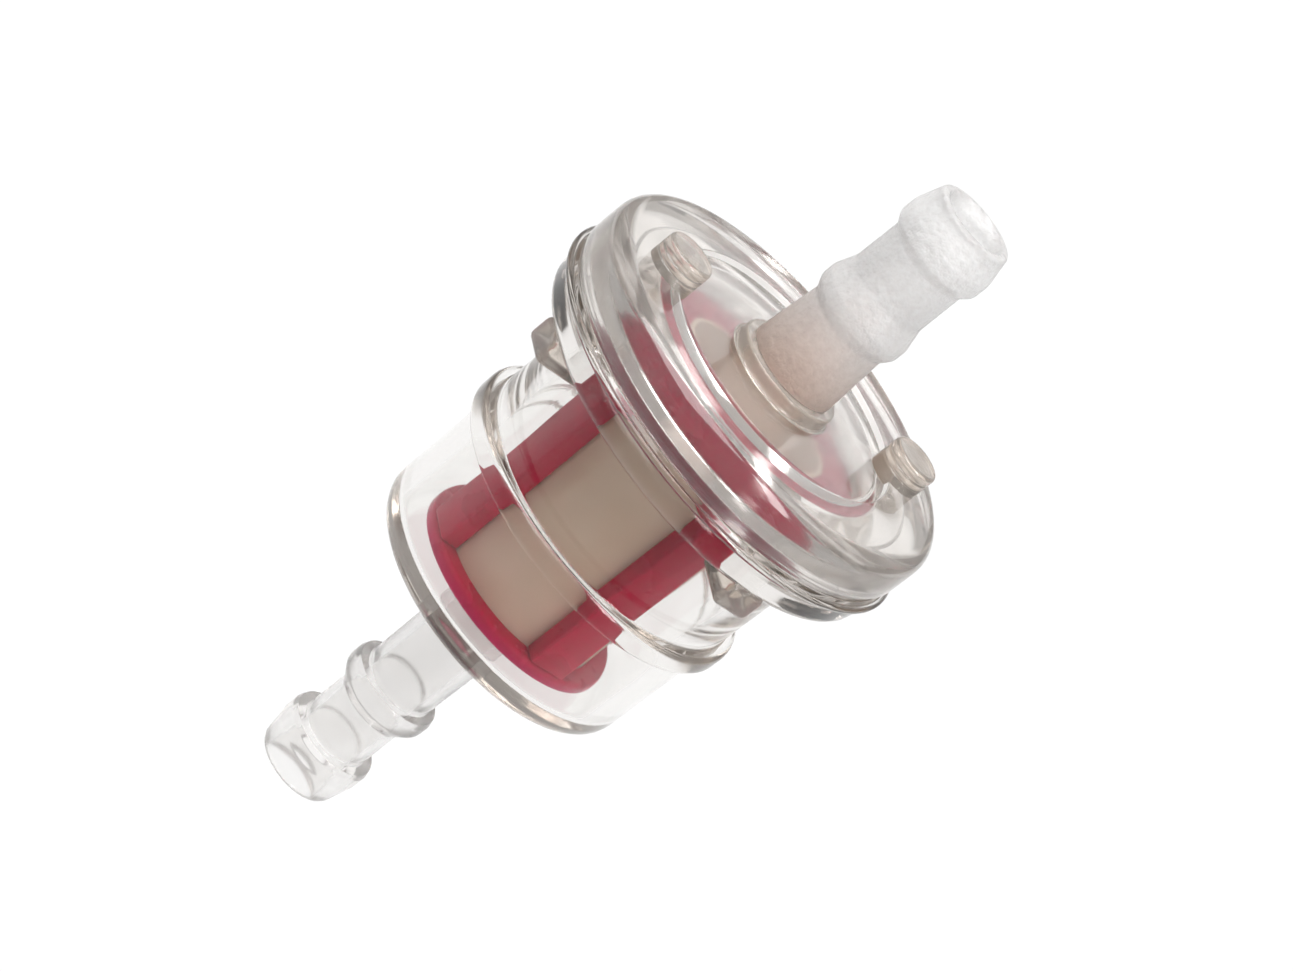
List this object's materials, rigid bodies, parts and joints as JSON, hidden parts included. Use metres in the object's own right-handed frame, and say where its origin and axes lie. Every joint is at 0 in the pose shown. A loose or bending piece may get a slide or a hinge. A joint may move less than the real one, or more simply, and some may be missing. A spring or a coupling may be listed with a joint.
{
  "type": "in-line fuel filter",
  "caption": "Small in-line fuel filter: clear flanged cup and lid, barbed hose nipples at both ends, red strainer cage with a fine mesh sleeve.",
  "frame": {"origin": "centre of the outlet passage at the outlet nipple's tip", "axes": "+Z along the filter's axis, from the outlet towards the inlet; two of the cage's posts lie along X and two along Y"},
  "size_m": [0.03, 0.03, 0.06],
  "materials": {
    "clear_shell": "clear, glossy",
    "clear_lid": "clear, glossy",
    "frosted_plastic": "fine sand-textured, translucent",
    "red_cage": "translucent crimson, glossy",
    "magenta_cap": "translucent magenta red, glossy",
    "screen_cloth": "fine woven mesh"
  },
  "bodies": {
    "root": {"cup": "clear_shell", "lid": "clear_lid", "inlet_nipple": "frosted_plastic", "cage": "red_cage", "end_cap": "magenta_cap", "screen": "screen_cloth"}
  },
  "joints": []
}
